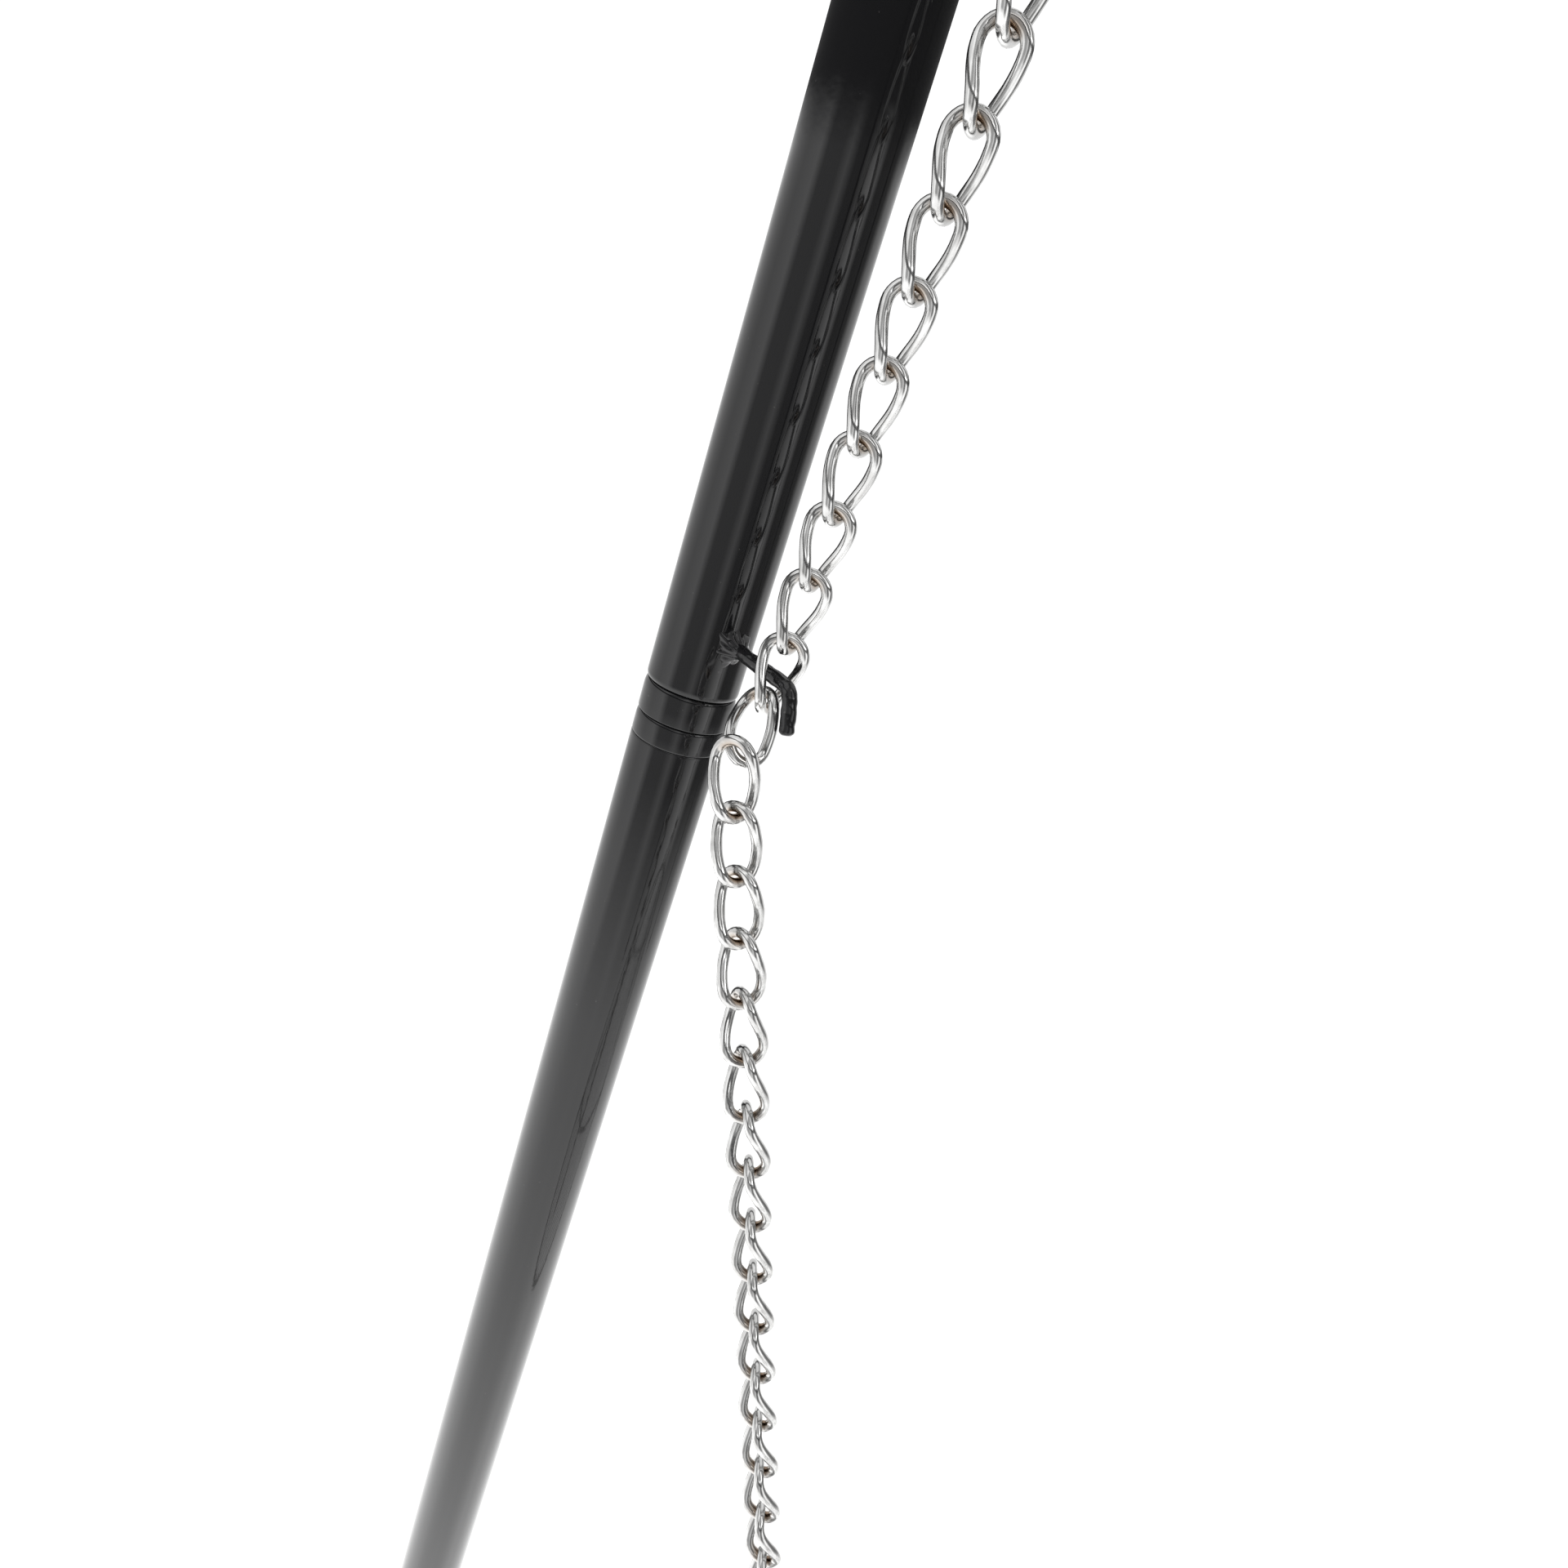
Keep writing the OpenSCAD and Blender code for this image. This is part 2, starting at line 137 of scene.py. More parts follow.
def make_piece(name, points, quads, body, slot, *nodes, sharp=40, caps=()):
    """A named mesh in the frame's metres that rides on a body and stands for CAD nodes.

    A closed surface whose faces look outwards has a positive volume, so one that comes out
    negative is turned over.
    """
    mesh = bpy.data.meshes.new(name)
    mesh.from_pydata(np.asarray(points, float).reshape(-1, 3).tolist(), [],
                     np.asarray(quads).tolist() + [list(cap) for cap in caps])
    mesh.update()
    solid = bmesh.new()
    solid.from_mesh(mesh)
    if solid.calc_volume(signed=True) < 0:
        mesh.flip_normals()
    solid.free()
    mesh.shade_smooth()
    mesh.set_sharp_from_angle(angle=math.radians(sharp))
    piece = bpy.data.objects.new(name, mesh)
    scene.collection.objects.link(piece)
    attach(piece, body)
    if nodes:
        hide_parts(*nodes)
    return piece


TURN_STEPS = 96


def turned(profile, steps=TURN_STEPS):
    """A profile of (distance down, radius) points turned round Z, as on a lathe."""
    down, radius = np.array(profile, float).T * MM
    angle = np.linspace(0, 2 * np.pi, steps, endpoint=False)
    ring = np.stack([np.cos(angle), np.sin(angle)], -1)
    points = np.zeros((len(down), steps, 3))
    points[..., :2] = radius[:, None, None] * ring
    points[..., 2] = -down[:, None]
    return points


print("one quad strip round a wire of 8 sides has", len(grid_faces(2, 8, False, True)), "faces")

# %% [markdown]
# ## Light
# Glossy black enamel shows almost nothing of its own: what is seen on it is the room. So the
# room is the first thing to get right. A white floor and a white sky give the pale background
# and the soft light. Shiny metal and enamel look instead at a lining that only they can see:
# a great round wall with soft bright panels and dark gaps between them. Its axis runs along the
# leg, because the reflections on a tube depend mostly on the angle round the tube. Its bands turn
# into the long streaks of the upper tube, and they soften downwards, as a floor does.

# %% The floor and the sky
scene.view_settings.view_transform = "Standard"


def node_material(name):
    """An empty material, with its node tree, its links' maker and its output."""
    material = bpy.data.materials.new(name)
    material.use_nodes = True
    tree = material.node_tree
    tree.nodes.clear()
    return material, tree, tree.nodes.new("ShaderNodeOutputMaterial")


def mix_colours(tree, factor, a, b):
    """The colour between two, each a socket or three numbers. A Mix node's colours are 6 and 7."""
    node = tree.nodes.new("ShaderNodeMix")
    node.data_type = "RGBA"
    tree.links.new(factor, node.inputs["Factor"])
    for socket, colour in ((node.inputs[6], a), (node.inputs[7], b)):
        if isinstance(colour, tuple):
            socket.default_value = (*colour, 1)
        else:
            tree.links.new(colour, socket)
    return node.outputs[2]


def between(tree, value, low, high, edge_width):
    """One while a value is between two limits, and zero outside them, with sloping edges."""
    rise, fall = tree.nodes.new("ShaderNodeMapRange"), tree.nodes.new("ShaderNodeMapRange")
    for node, start, end in ((rise, low, low + edge_width), (fall, high + edge_width, high)):
        node.inputs["From Min"].default_value = start
        node.inputs["From Max"].default_value = end
        tree.links.new(value, node.inputs["Value"])
    both = tree.nodes.new("ShaderNodeMath")
    both.operation = "MULTIPLY"
    tree.links.new(rise.outputs[0], both.inputs[0])
    tree.links.new(fall.outputs[0], both.inputs[1])
    return both.outputs[0]


def plane(name, size, height):
    """A square floor of the given size, in metres."""
    mesh = bpy.data.meshes.new(name)
    h = size / 2
    mesh.from_pydata([(-h, -h, height), (h, -h, height), (h, h, height), (-h, h, height)], [],
                     [(0, 1, 2, 3)])
    obj = bpy.data.objects.new(name, mesh)
    scene.collection.objects.link(obj)
    return obj


world = bpy.data.worlds.new("sky")
world.use_nodes = True
scene.world = world
world.node_tree.nodes["Background"].inputs["Color"].default_value = (1, 1, 1, 1)
world.node_tree.nodes["Background"].inputs["Strength"].default_value = 1.1

floor = plane("floor", 60, 0.0)
floor_material, tree, output = node_material("pale_floor")
diffuse = tree.nodes.new("ShaderNodeBsdfDiffuse")
diffuse.inputs["Color"].default_value = (0.97, 0.97, 0.97, 1)
tree.links.new(diffuse.outputs["BSDF"], output.inputs["Surface"])
floor.data.materials.append(floor_material)
floor.visible_glossy = False

key_data = bpy.data.lights.new("key", "AREA")
key_data.energy, key_data.size = 60, 2.5
key = bpy.data.objects.new("key", key_data)
key.location = (-0.6, -2.6, 3.2)
key.rotation_euler = (Vector((0.1, 0, 0.7)) - key.location).to_track_quat("-Z", "Y").to_euler()
key.visible_glossy = False
scene.collection.objects.link(key)
print("floor, sky and one soft key light")

# %% The lining that gloss reflects
# Angle round the leg in degrees, and how bright the wall is there: zero faces the hook's side.
# A broad panel, a dim gap, a pale strip, a dark gap, a strip light, a dark gap and a pale wall.
BANDS = [(-180, 1.0), (-90, 1.0), (-60, 1.5), (-45, 0.5), (-15, 0.5), (0, 1.0), (15, 0.25),
         (30, 0.25), (60, 2.0), (75, 0.25), (105, 0.25), (120, 1.0), (180, 1.0)]

# Heights on the lining, in metres: where the bands melt into grey, and a small bright window
# over a dark rim, which only the rounded edges of the tubes can see.
SOFT_FROM, SOFT_TO = -2.2, -3.7
SOFT_SHARE, SOFT_GREY, RIM_GREY = 0.92, 0.86, 0.05
RIM_FROM, WINDOW_FROM, WINDOW_TO = 1.2, 2.6, 3.3
WALL_STRENGTH, WINDOW_STRENGTH = 2, 6


def lining_material():
    """Bands of light by the angle round Z, which melt into one soft grey further down."""
    material, tree, output = node_material("lining")
    nodes, link = tree.nodes, tree.links.new
    place = nodes.new("ShaderNodeTexCoord")
    split = nodes.new("ShaderNodeSeparateXYZ")
    link(place.outputs["Object"], split.inputs["Vector"])
    angle = nodes.new("ShaderNodeMath")
    angle.operation = "ARCTAN2"
    link(split.outputs["Y"], angle.inputs[0])
    link(split.outputs["X"], angle.inputs[1])
    share = nodes.new("ShaderNodeMapRange")
    share.inputs["From Min"].default_value = -math.pi
    share.inputs["From Max"].default_value = math.pi
    link(angle.outputs[0], share.inputs["Value"])
    bands = nodes.new("ShaderNodeValToRGB")
    stops = bands.color_ramp.elements
    stops.remove(stops[1])
    for degrees, bright in BANDS:
        at = degrees / 360 + 0.5
        stop = stops[0] if at == 0 else stops.new(at)
        stop.color = (*[bright / WALL_STRENGTH] * 3, 1)
    link(share.outputs[0], bands.inputs["Fac"])
    soft = nodes.new("ShaderNodeMapRange")
    soft.inputs["From Min"].default_value = SOFT_FROM
    soft.inputs["From Max"].default_value = SOFT_TO
    soft.inputs["To Max"].default_value = SOFT_SHARE
    link(split.outputs["Z"], soft.inputs["Value"])
    wall = mix_colours(tree, soft.outputs[0], bands.outputs["Color"], (SOFT_GREY,) * 3)
    rim = between(tree, split.outputs["Z"], RIM_FROM, WINDOW_FROM, 0.3)
    window = nodes.new("ShaderNodeMath")
    window.operation = "MULTIPLY"
    link(between(tree, split.outputs["Z"], WINDOW_FROM, WINDOW_TO, 0.1), window.inputs[0])
    link(between(tree, angle.outputs[0], -0.5, 1.5, 0.2), window.inputs[1])
    glow = nodes.new("ShaderNodeEmission")
    link(mix_colours(tree, rim, wall, (RIM_GREY,) * 3), glow.inputs["Color"])
    strength = nodes.new("ShaderNodeMapRange")
    strength.inputs["To Min"].default_value = WALL_STRENGTH
    strength.inputs["To Max"].default_value = WINDOW_STRENGTH
    link(window.outputs[0], strength.inputs["Value"])
    link(strength.outputs[0], glow.inputs["Strength"])
    link(glow.outputs[0], output.inputs["Surface"])
    return material


LINING_R, LINING_RINGS, LINING_SIDES = 6.0, 24, 48


def ball(radius, rings, sides):
    """A sphere as rings of points: height is cosine of one angle, radius is its sine."""
    polar = np.linspace(0.02, np.pi - 0.02, rings)[:, None]
    round_ = np.linspace(0, 2 * np.pi, sides, endpoint=False)[None, :]
    return radius * np.stack([np.sin(polar) * np.cos(round_), np.sin(polar) * np.sin(round_),
                              np.cos(polar) * np.ones_like(round_)], -1)


leg_up = Vector((math.sin(LEAN), 0, math.cos(LEAN)))
towards = Vector((0.444, -0.8785, -0.177))
towards = (towards - leg_up * towards.dot(leg_up)).normalized()
across = leg_up.cross(towards)
lining_mesh = bpy.data.meshes.new("lining")
corners = LINING_RINGS * LINING_SIDES
lining_caps = [list(range(LINING_SIDES)), list(range(corners - LINING_SIDES, corners))]
lining_mesh.from_pydata(ball(LINING_R, LINING_RINGS, LINING_SIDES).reshape(-1, 3).tolist(), [],
                        grid_faces(LINING_RINGS, LINING_SIDES, False, True).tolist() + lining_caps)
lining = bpy.data.objects.new("lining", lining_mesh)
lining.matrix_world = Matrix.Translation((-0.06, 0, 1.05)) @ Matrix(
    [[towards[i], across[i], leg_up[i]] for i in range(3)]).to_4x4()
scene.collection.objects.link(lining)
lining.data.materials.append(lining_material())
for kind in ("camera", "diffuse", "transmission", "volume_scatter", "shadow"):
    setattr(lining, "visible_" + kind, False)
print("lining of", len(BANDS), "bands, seen only by gloss")

# %% [markdown]
# ## Finishes
# The enamel is sprayed on tube and baked. It is smooth as glass from far off, and has a faint
# ripple close by, called orange peel, with specks of dust in it. The zinc is plated on drawn
# wire: bright, a little grey, with streaks along the wire and a brown stain where links rub.
# Each finish reads Object coordinates, so that it stays put when the piece moves, and its
# ripple is a bump that comes from noise at the real size.

# %% Black enamel
def bump_from(tree, height, strength, distance):
    """A bump whose height is a node's output."""
    bump = tree.nodes.new("ShaderNodeBump")
    bump.inputs["Strength"].default_value = strength
    bump.inputs["Distance"].default_value = distance
    tree.links.new(height, bump.inputs["Height"])
    return bump


def noise(tree, scale, detail=2.0, stretch=(1, 1, 1)):
    """Noise on Object coordinates: its scale is waves per metre, and stretch squeezes an axis."""
    place = tree.nodes.new("ShaderNodeTexCoord")
    mapping = tree.nodes.new("ShaderNodeMapping")
    mapping.inputs["Scale"].default_value = stretch
    texture = tree.nodes.new("ShaderNodeTexNoise")
    texture.inputs["Scale"].default_value = scale
    texture.inputs["Detail"].default_value = detail
    tree.links.new(place.outputs["Object"], mapping.inputs["Vector"])
    tree.links.new(mapping.outputs["Vector"], texture.inputs["Vector"])
    return texture


def ramp(tree, value, low, high, start, end):
    """A colour that goes from start to end as a value goes from low to high."""
    node = tree.nodes.new("ShaderNodeValToRGB")
    first, last = node.color_ramp.elements
    first.position, last.position = low, high
    first.color, last.color = (*start, 1), (*end, 1)
    tree.links.new(value, node.inputs["Fac"])
    return node


def enamel(name, ripple, roughness, specks=0.78):
    """Black enamel over steel, with orange peel of a given depth and dust in the paint."""
    material, tree, output = node_material(name)
    link = tree.links.new
    shader = tree.nodes.new("ShaderNodeBsdfPrincipled")
    shader.inputs["IOR"].default_value = 1.5
    dust = noise(tree, 900, 1.0)
    colour = ramp(tree, dust.outputs["Fac"], specks, specks + 0.03, (0.0045, 0.0045, 0.005),
                  (0.03, 0.029, 0.028))
    link(colour.outputs["Color"], shader.inputs["Base Color"])
    haze = noise(tree, 40, 3.0)
    dull = tree.nodes.new("ShaderNodeMapRange")
    dull.inputs["To Min"].default_value = roughness * 0.8
    dull.inputs["To Max"].default_value = roughness * 1.5
    link(haze.outputs["Fac"], dull.inputs["Value"])
    link(dull.outputs["Result"], shader.inputs["Roughness"])
    peel = noise(tree, 420, 1.5)
    bump = bump_from(tree, peel.outputs["Fac"], ripple, 0.0002)
    link(bump.outputs["Normal"], shader.inputs["Normal"])
    link(shader.outputs["BSDF"], output.inputs["Surface"])
    return material


tube_enamel = enamel("tube_enamel", 0.04, 0.05)
hook_enamel = enamel("hook_enamel", 0.7, 0.16, 0.7)
weld_enamel = enamel("weld_enamel", 0.5, 0.1)
plate_enamel = enamel("plate_enamel", 0.12, 0.12)
print("four enamels")

# %% Zinc plate, and rubber
def zinc_plate(name, streak, roughness, brown):
    """Bright zinc on wire: streaks of dullness, a fine bump, and brown where the stain says."""
    material, tree, output = node_material(name)
    link = tree.links.new
    shader = tree.nodes.new("ShaderNodeBsdfPrincipled")
    shader.inputs["Metallic"].default_value = 1.0
    cloud = noise(tree, 260, 3.0)
    plate = ramp(tree, cloud.outputs["Fac"], 0.3, 0.7, (0.5, 0.497, 0.49), (0.72, 0.72, 0.715))
    stain = tree.nodes.new("ShaderNodeAttribute")
    stain.attribute_name = "stain"
    link(mix_colours(tree, stain.outputs["Fac"], plate.outputs["Color"], brown),
         shader.inputs["Base Color"])
    dull = tree.nodes.new("ShaderNodeMapRange")
    dull.inputs["To Min"].default_value = roughness * 0.6
    dull.inputs["To Max"].default_value = roughness * 1.6
    link(noise(tree, 700, 4.0, (1, 1, streak)).outputs["Fac"], dull.inputs["Value"])
    link(dull.outputs["Result"], shader.inputs["Roughness"])
    bump = bump_from(tree, noise(tree, 1500, 3.0, (1, 1, streak)).outputs["Fac"], 0.12, 0.0001)
    link(bump.outputs["Normal"], shader.inputs["Normal"])
    link(shader.outputs["BSDF"], output.inputs["Surface"])
    return material


def moulded_rubber():
    """Black rubber from a blasted mould: no shine, a fine grain, and grey dust on it."""
    material, tree, output = node_material("moulded_rubber")
    link = tree.links.new
    shader = tree.nodes.new("ShaderNodeBsdfPrincipled")
    shader.inputs["Specular IOR Level"].default_value = 0.35
    grime = noise(tree, 70, 5.0)
    colour = ramp(tree, grime.outputs["Fac"], 0.4, 0.75, (0.016, 0.016, 0.017), (0.05, 0.048, 0.045))
    link(colour.outputs["Color"], shader.inputs["Base Color"])
    dull = tree.nodes.new("ShaderNodeMapRange")
    dull.inputs["To Min"].default_value = 0.55
    dull.inputs["To Max"].default_value = 0.8
    link(grime.outputs["Fac"], dull.inputs["Value"])
    link(dull.outputs["Result"], shader.inputs["Roughness"])
    grain = noise(tree, 2200, 2.0)
    bump = bump_from(tree, grain.outputs["Fac"], 0.5, 0.0002)
    link(bump.outputs["Normal"], shader.inputs["Normal"])
    link(shader.outputs["BSDF"], output.inputs["Surface"])
    return material


chain_zinc = zinc_plate("chain_zinc", 0.25, 0.14, (0.32, 0.24, 0.17))
rod_zinc = zinc_plate("rod_zinc", 0.5, 0.2, (0.4, 0.34, 0.27))
rubber = moulded_rubber()
print("zinc for chain and rod, and rubber")

# %% [markdown]
# ## Links
# A twisted link starts as an oval of wire. Its two ends are then turned against each other by a
# quarter turn, so that the next link hangs square in it and the chain lies smooth. To make one,
# the oval's outline is drawn first: two half circles joined by two straight limbs. Each point is
# then turned about the link's long axis by an angle that depends only on its height. A wire of
# round section follows that line. Every link of a chain is the same grid of points, moved to
# its own place, so a chain is one array.

# %% The twisted link
def link_line(steps, twist=70):
    """The wire's centre line: an oval whose points turn by up to the twist, evenly from top to low."""
    straight = LINK_HALF - LIMB_R
    around = np.linspace(0, 2 * np.pi, steps, endpoint=False)
    length = 2 * (2 * straight + math.pi * LIMB_R)
    s = around / (2 * np.pi) * length
    arc = math.pi * LIMB_R
    top = np.clip(s / LIMB_R, 0, np.pi)
    left = np.clip(s - arc, 0, 2 * straight)
    low = np.clip((s - arc - 2 * straight) / LIMB_R, 0, np.pi)
    rise = np.clip(s - 2 * arc - 2 * straight, 0, 2 * straight)
    x = LIMB_R * (np.cos(top) - np.cos(low) + 1)
    z = straight + LIMB_R * np.sin(top) - left - LIMB_R * np.sin(low) + rise
    share = np.clip(z / 7, -1, 1)
    turn = np.radians(twist) * (0.5 - 0.5 * share * (1.3 - 0.3 * share ** 2))
    centre = np.stack([np.zeros(steps), np.zeros(steps), np.clip(z, -straight, straight)], -1)
    line = np.stack([x * np.cos(turn), x * np.sin(turn), z], -1)
    return line * MM, (line - centre) * MM


def link_wire(steps, sides, twist=70):
    """Rings of the wire round a link's line: out is away from the link's middle."""
    line, out = link_line(steps, twist)
    ahead = np.roll(line, -1, 0) - np.roll(line, 1, 0)
    ahead /= np.linalg.norm(ahead, axis=-1, keepdims=True)
    out = out - (out * ahead).sum(-1, keepdims=True) * ahead
    out /= np.linalg.norm(out, axis=-1, keepdims=True)
    side = np.cross(ahead, out)
    angle = np.linspace(0, 2 * np.pi, sides, endpoint=False)
    ring = (np.cos(angle)[:, None] * out[:, None, :] + np.sin(angle)[:, None] * side[:, None, :])
    points = line[:, None, :] + WIRE_R * MM * ring
    # Links rub on the inside of each end, so the stain is strongest there.
    end = np.clip((np.abs(line[:, 2]) / MM - 6.8) / 2.4, 0, 1)[:, None]
    stain = end * np.clip(0.35 - np.cos(angle)[None, :], 0, 1) * 0.8
    return points, stain


def turned_frames(ways, turns):
    """Axes for each link: Z against its way, and X at an angle from the frame's X, seen from above."""
    z = -ways / np.linalg.norm(ways, axis=-1, keepdims=True)
    flat = np.stack([np.cos(turns), np.sin(turns), np.zeros_like(turns)], -1)
    x = flat - (flat * z).sum(-1, keepdims=True) * z
    x /= np.linalg.norm(x, axis=-1, keepdims=True)
    return np.stack([x, np.cross(z, x), z], -1)


def make_chain(name, places, ways, turns, body, *nodes, steps=24, sides=8, seed=1,
               loose=2.0):
    """All links of a chain as one piece. Each link is the same wire in its own place."""
    points, stain = link_wire(steps, sides)
    chance = np.random.default_rng(seed)
    turns = np.radians(np.asarray(turns, float) + chance.normal(0, loose, len(places)))
    axes = turned_frames(np.asarray(ways, float), turns)
    links = np.einsum("rsk,njk->nrsj", points, axes) + np.asarray(places, float)[:, None, None, :]
    quads = grid_faces(steps, sides, True, True)
    quads = quads[None] + (np.arange(len(places)) * steps * sides)[:, None, None]
    piece = make_piece(name, links, quads.reshape(-1, 4), body, "zinc", *nodes, sharp=180)
    mark = piece.data.attributes.new("stain", "FLOAT", "POINT")
    mark.data.foreach_set("value", np.tile(stain.reshape(-1), len(places)))
    piece.data.materials.append(chain_zinc)
    return piece


def along(start, end, links):
    """Middles of equal links from one contact point to the other, and their common way."""
    start, end = np.array(start), np.array(end)
    share = (np.arange(links) + 0.5) / links
    return start + share[:, None] * (end - start), np.tile(end - start, (links, 1))


RUN_LINKS, SPARE_LINKS, MAIN_LINKS, GRATE_LINKS = 35, 26, 48, 22
LINK_PITCH = 0.0157848
RUN_TOP, RUN_LOW = (0.158371, 0.0000404, 1.55742), (-0.0522881, -0.0138975, 1.04688)
places, ways = along(RUN_TOP, RUN_LOW, RUN_LINKS)
make_chain("run_of_chain", places, ways, np.linspace(-4, 20, RUN_LINKS), "leg_a_upper",
           "run_chain", steps=48, sides=16, seed=3)
print("a link's wire has", 48 * 16, "faces near the hook and", 24 * 8, "far from it")

# %% [markdown]
# ## The link on the hook, and the spare end
# The last link of the run straddles the hook's rod. The next one is caught: its top lies between
# the rod and the last link, so it leans away from the leg's side, towards the camera. From its
# lower end the spare chain hangs plumb. A twisted link hung loose has no one way to face, and
# the spare end turns slowly: its first links show their open middles and the lower ones their
# edges. So each link's turn is read from a short list and run on evenly below that.

# %% The caught link and the spare chain
CAUGHT_TOP = np.array((-0.05338, -0.01459, 1.050217))
CAUGHT_LOW = np.array((-0.053253, -0.025432, 1.03464))
CAUGHT_TURN = -12.5
make_chain("caught_piece", [(CAUGHT_TOP + CAUGHT_LOW) / 2], [CAUGHT_LOW - CAUGHT_TOP],
           [CAUGHT_TURN], "leg_a_upper", "caught_link", steps=48, sides=16, loose=0)

SPARE_TOP = np.array((-0.0529046, -0.0299082, 1.0392388))
SPARE_TURNS = [0, -4, -10, -20, -31, -41, -51, -61]
places, ways = along(SPARE_TOP, SPARE_TOP - np.array((0, 0, SPARE_LINKS * LINK_PITCH)), SPARE_LINKS)
spare_turns = np.concatenate([SPARE_TURNS, np.linspace(-64, -78, SPARE_LINKS - len(SPARE_TURNS))])
make_chain("spare_end", places, ways, spare_turns, "spare_chain", "spare_chain",
           steps=40, sides=12, seed=8)
print("spare end reaches down to", round(float(places[-1][2]) - LINK_HALF * MM, 3), "m")

# %% [markdown]
# ## The main chain and the grate's chains
# The main chain is drawn short when the grate is raised: on the real tripod its upper links go
# over the guide and down to the hook. Here its links are spaced evenly, straight down from the
# guide. The three grate chains start on the gathering ring, spread, and turn a little from
# link to link, so that the last link of each stands square to the wire of its rim hook.

# %% The main chain
places, ways = along((MAIN_X, 0, CHAIN_TOP), (MAIN_X, 0, CHAIN_LOW), MAIN_LINKS)
main = make_chain("main_run", places, ways, np.zeros(MAIN_LINKS), "main_chain", "main_chain", seed=11)
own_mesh(main)

# %% The three grate chains
RING_Z, RING_R, RIM_Z, RIM_R = 0.755974, 0.016, 0.451974, 0.2185
RIM_HOOK_R, RIM_HOOK_WIRE = 0.0066, 0.002
GRATE_TURNS, RING_TURNS = {"a": 0, "b": 120, "c": 240}, {"a": 0, "b": 28, "c": -28}


def grate_ends(i):
    """A grate chain's ends: low on the ring, and on the rim, both as points of the wires' middles."""
    g, r = math.radians(GRATE_TURNS[i]), math.radians(RING_TURNS[i])
    ring = np.array((MAIN_X, RING_R * math.sin(r), RING_Z - RING_R * math.cos(r)))
    rim = np.array((MAIN_X + RIM_R * math.cos(g), RIM_R * math.sin(g), RIM_Z))
    return ring, rim, (rim - ring) / np.linalg.norm(rim - ring)


for i, last_turn in (("a", 0), ("b", -62), ("c", 62)):
    ring, rim, way = grate_ends(i)
    start = ring - way * 0.0027
    end = rim - way * (3 * RIM_HOOK_R - RIM_HOOK_WIRE - 0.0002)
    places, ways = along(start, end, GRATE_LINKS)
    make_chain("grate_run_" + i, places, ways, np.linspace(0, last_turn, GRATE_LINKS), "grate",
               "grate_chain_" + i, seed=20 + GRATE_TURNS[i])
print("three chains of", GRATE_LINKS, "links")

# %% [markdown]
# ## The leg's tubes
# Each leg is cut in three so that it packs short. The upper tube of a pair ends in a socket
# ferrule, and the lower one starts with a plug ferrule whose spigot slides into it. Both have a
# collar flush with the tube. Their edges are what the light finds: a tube's cut end is rounded
# over, each collar has a soft shoulder, and only the parting line itself is crisp. One profile
# of distance and radius is turned round the leg's axis for each piece, from the outside down
# and back up through the bore, so that each piece is closed.

# %% Tubes
def rounded(start, end, r, depth, points=7):
    """Quarter of an ellipse on a profile, from a low start to full radius, or the other way."""
    t = np.linspace(0, np.pi / 2, points)
    down = start + (end - start) * (1 - np.cos(t))
    return np.stack([down, r - depth + depth * np.sin(t)], -1)


def shoulder(at, r, depth, length):
    """A soft shoulder that rises from the seam at its upper end to the full radius."""
    return rounded(at, at + length, r, depth)


def edge(at, r, depth, length):
    """The same at a lower end: full radius first, then rolled over to the seam."""
    return rounded(at, at - length, r, depth)[::-1]


def leg_piece(name, leg, body, slot, profile, material, *nodes, sharp=35):
    """A closed profile turned round a leg's axis and put in that leg's place."""
    points = moved(turned(profile).reshape(-1, 3), leg_matrix(leg)).reshape(len(profile), -1, 3)
    quads = grid_faces(len(profile), points.shape[1], True, True)
    piece = make_piece(name, points, quads, body, slot, *nodes, sharp=sharp)
    piece.data.materials.append(material)
    return piece


def tube_profile(start, end, top, bottom):
    """A tube from start to end, with its outer edges rolled over by (depth, length)."""
    outer = np.vstack([shoulder(start, TUBE_R, *top), edge(end, TUBE_R, *bottom)])
    return np.vstack([outer, [(end, BORE_R), (start, BORE_R)]])


GAP = 0.05
HINGE_END = 25
FOOT_WALL, FOOT_SLEEVE, SLEEVE = 12, 38, 52
for leg in "abc":
    upper, middle, lower = (f"leg_{leg}_{part}" for part in ("upper", "middle", "lower"))
    leg_piece(f"{upper}_tube_piece", leg, upper, "black_paint",
              tube_profile(HINGE_END + GAP, SECTION - COLLAR_ABOVE - GAP, (0.4, 0.5), (0.75, 1.7)),
              tube_enamel, f"{upper}_tube")
    leg_piece(f"{middle}_tube_piece", leg, middle, "black_paint",
              tube_profile(SECTION + COLLAR_BELOW + GAP, 2 * SECTION - COLLAR_ABOVE - GAP,
                           (0.35, 0.9), (0.75, 1.7)), tube_enamel, f"{middle}_tube")
    leg_piece(f"{lower}_tube_piece", leg, lower, "black_paint",
              tube_profile(2 * SECTION + COLLAR_BELOW + GAP, 3 * SECTION - FOOT_WALL - GAP,
                           (0.35, 0.9), (0.3, 0.5)), tube_enamel, f"{lower}_tube")
print("nine tubes")

# %% Ferrules
def socket_profile(parting):
    """The collar with its shoulder, the sharp parting edge, and the sleeve inside the tube."""
    top = parting - COLLAR_ABOVE
    collar = np.vstack([shoulder(top + 0.1, TUBE_R, 0.85, 2.3), edge(parting - 0.1, TUBE_R, 0.3, 0.35)])
    return np.vstack([collar, [(parting - 0.1, SOCKET_R), (top - SLEEVE, SOCKET_R),
                               (top - SLEEVE, BORE_R - GAP),
                               (top + 0.1, BORE_R - GAP)]])


